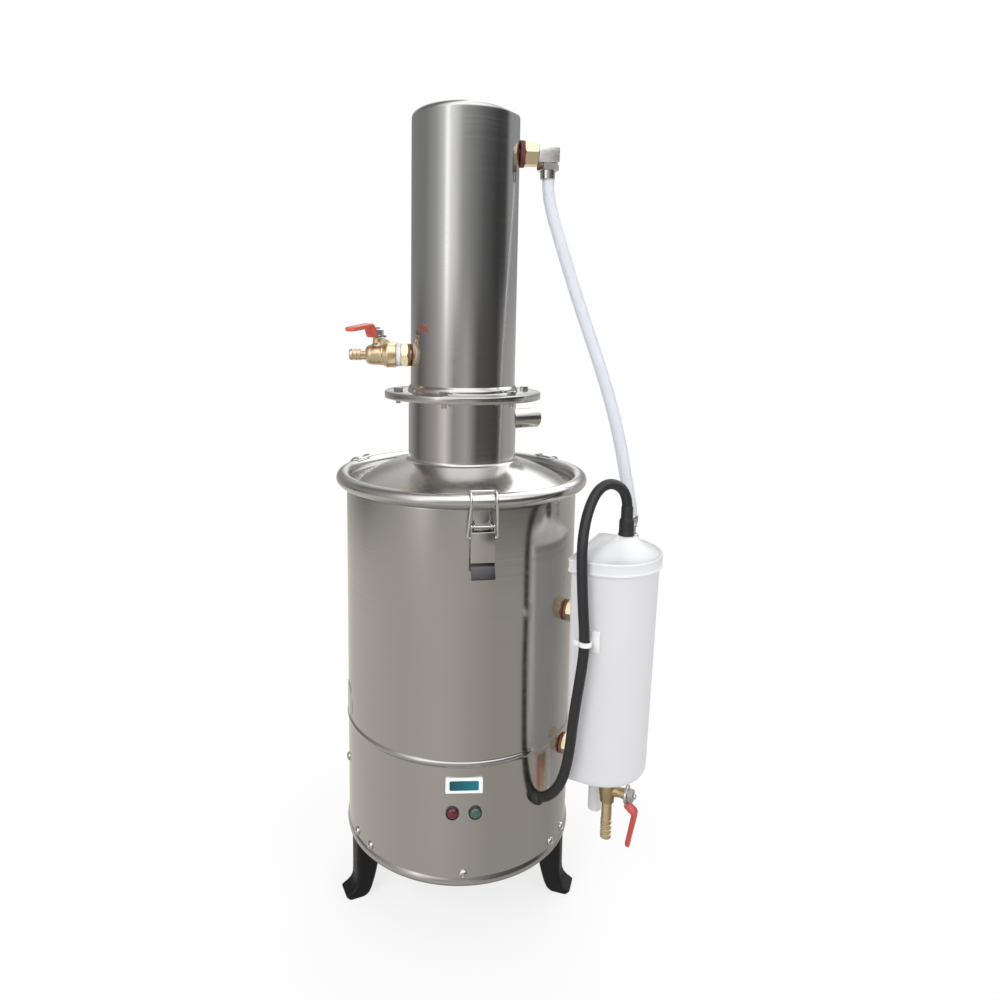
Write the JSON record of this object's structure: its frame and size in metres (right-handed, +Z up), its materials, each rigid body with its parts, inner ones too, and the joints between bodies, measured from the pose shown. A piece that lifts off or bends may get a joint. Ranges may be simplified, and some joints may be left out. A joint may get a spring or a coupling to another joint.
{
  "type": "water distiller",
  "caption": "Upright electric water distiller: domed boiler on cast feet, bolted tube condenser, side feed cup, ball taps, hose and latched lid.",
  "frame": {"origin": "on the bench under the boiler's axis, in the plane of the three foot soles", "axes": "+Z up along the boiler axis, -Y the front with the lamps, +X the side of the outlet and the spout"},
  "size_m": [0.3085, 0.2612, 0.778],
  "materials": {
    "steel": "satin polished stainless sheet",
    "nickel": "bright nickel plate",
    "brass": "machined brass",
    "red_grip": "red dipped coating on a steel strip",
    "milky_plastic": "translucent milky moulding",
    "clear_hose": "translucent flexible hose",
    "black_rubber": "black rubber sheath",
    "black_casting": "black enamelled casting",
    "black_plastic": "black moulding",
    "red_fibre": "vulcanised fibre",
    "white_plastic": "white moulding",
    "white_plate": "enamelled plate",
    "seal_rubber": "grey silicone",
    "heater_steel": "heat-tinted sheath",
    "red_lens": "red lens",
    "green_lens": "green lens"
  },
  "bodies": {
    "stand": {"boiler_shell": "steel", "boiler_floor": "steel", "heater_tube": "heater_steel", "heater_nuts": "brass", "base_pan": "steel", "pan_screws": "nickel", "foot_left": "black_casting", "foot_right": "black_casting", "foot_rear": "black_casting", "lid": "steel", "lid_seal": "seal_rubber", "flange_pad": "seal_rubber", "condenser_shell": "steel", "condenser_tubes": "steel", "drip_tray": "steel", "distillate_spout": "steel", "flange_bolts": "nickel", "latch_base_front": "steel", "latch_base_right": "steel", "latch_base_left": "steel", "latch_pins": "nickel", "fibre_washers": "red_fibre", "inlet_nipple": "brass", "inlet_seal": "white_plastic", "inlet_valve": "brass", "outlet_nipple": "brass", "outlet_elbow": "nickel", "outlet_nut": "nickel", "return_hose": "clear_hose", "cup_body": "milky_plastic", "cup_lid": "milky_plastic", "cup_barb": "nickel", "cup_nipples": "brass", "overflow_pipe": "milky_plastic", "drain_valve": "brass", "float_rod": "nickel", "cable_cuff": "black_rubber", "probe_cable": "black_rubber", "tie_mount": "white_plastic", "tie_strap": "white_plastic", "cable_grommet": "black_rubber", "lamp_red": "red_lens", "lamp_green": "green_lens", "lamp_bezels": "black_plastic", "name_plate": "white_plate", "power_gland": "black_plastic"},
    "latch_lever_front": {"latch_lever_front": "steel"},
    "latch_bail_front": {"latch_bail_front": "nickel"},
    "latch_lever_right": {"latch_lever_right": "steel"},
    "latch_bail_right": {"latch_bail_right": "nickel"},
    "latch_lever_left": {"latch_lever_left": "steel"},
    "latch_bail_left": {"latch_bail_left": "nickel"},
    "inlet_handle": {"inlet_ball": "nickel", "inlet_lever": "red_grip", "inlet_lever_nut": "nickel"},
    "drain_handle": {"drain_ball": "nickel", "drain_lever": "red_grip", "drain_lever_nut": "nickel"},
    "float": {"float": "white_plastic"}
  },
  "joints": [
    {"name": "latch_front", "type": "hinge", "parent": "stand", "child": "latch_lever_front", "pos_m": [0.01252, -0.11914, 0.407], "axis": [-0.9945, -0.1045, 0], "range_deg": [0, 80]},
    {"name": "bail_front", "type": "hinge", "parent": "latch_lever_front", "child": "latch_bail_front", "pos_m": [0.0126, -0.11984, 0.3975], "axis": [-0.9945, -0.1045, 0], "range_deg": [-63, 0]},
    {"name": "latch_right", "type": "hinge", "parent": "stand", "child": "latch_lever_right", "pos_m": [0.09813, 0.06871, 0.407], "axis": [0.5736, -0.8192, 0], "range_deg": [0, 80]},
    {"name": "bail_right", "type": "hinge", "parent": "latch_lever_right", "child": "latch_bail_right", "pos_m": [0.09871, 0.06912, 0.3975], "axis": [0.5736, -0.8192, 0], "range_deg": [-63, 0]},
    {"name": "latch_left", "type": "hinge", "parent": "stand", "child": "latch_lever_left", "pos_m": [-0.10578, 0.05624, 0.407], "axis": [0.4695, 0.8829, 0], "range_deg": [0, 80]},
    {"name": "bail_left", "type": "hinge", "parent": "latch_lever_left", "child": "latch_bail_left", "pos_m": [-0.1064, 0.05657, 0.3975], "axis": [0.4695, 0.8829, 0], "range_deg": [-63, 0]},
    {"name": "inlet_tap", "type": "hinge", "parent": "stand", "child": "inlet_handle", "pos_m": [-0.0845, 0, 0.5495], "axis": [0, 0, 1], "range_deg": [-63, 27]},
    {"name": "drain_tap", "type": "hinge", "parent": "stand", "child": "drain_handle", "pos_m": [0.14116, -0.0815, 0.136], "axis": [0.866, -0.5, 0], "range_deg": [0, 90]},
    {"name": "float_rise", "type": "slide", "parent": "stand", "child": "float", "axis": [0, 0, 1], "range_m": [0, 0.015]}
  ],
  "couplings": [
    {"joint": "bail_front", "follows": "latch_front", "ratio": -0.78},
    {"joint": "bail_right", "follows": "latch_right", "ratio": -0.78},
    {"joint": "bail_left", "follows": "latch_left", "ratio": -0.78}
  ]
}
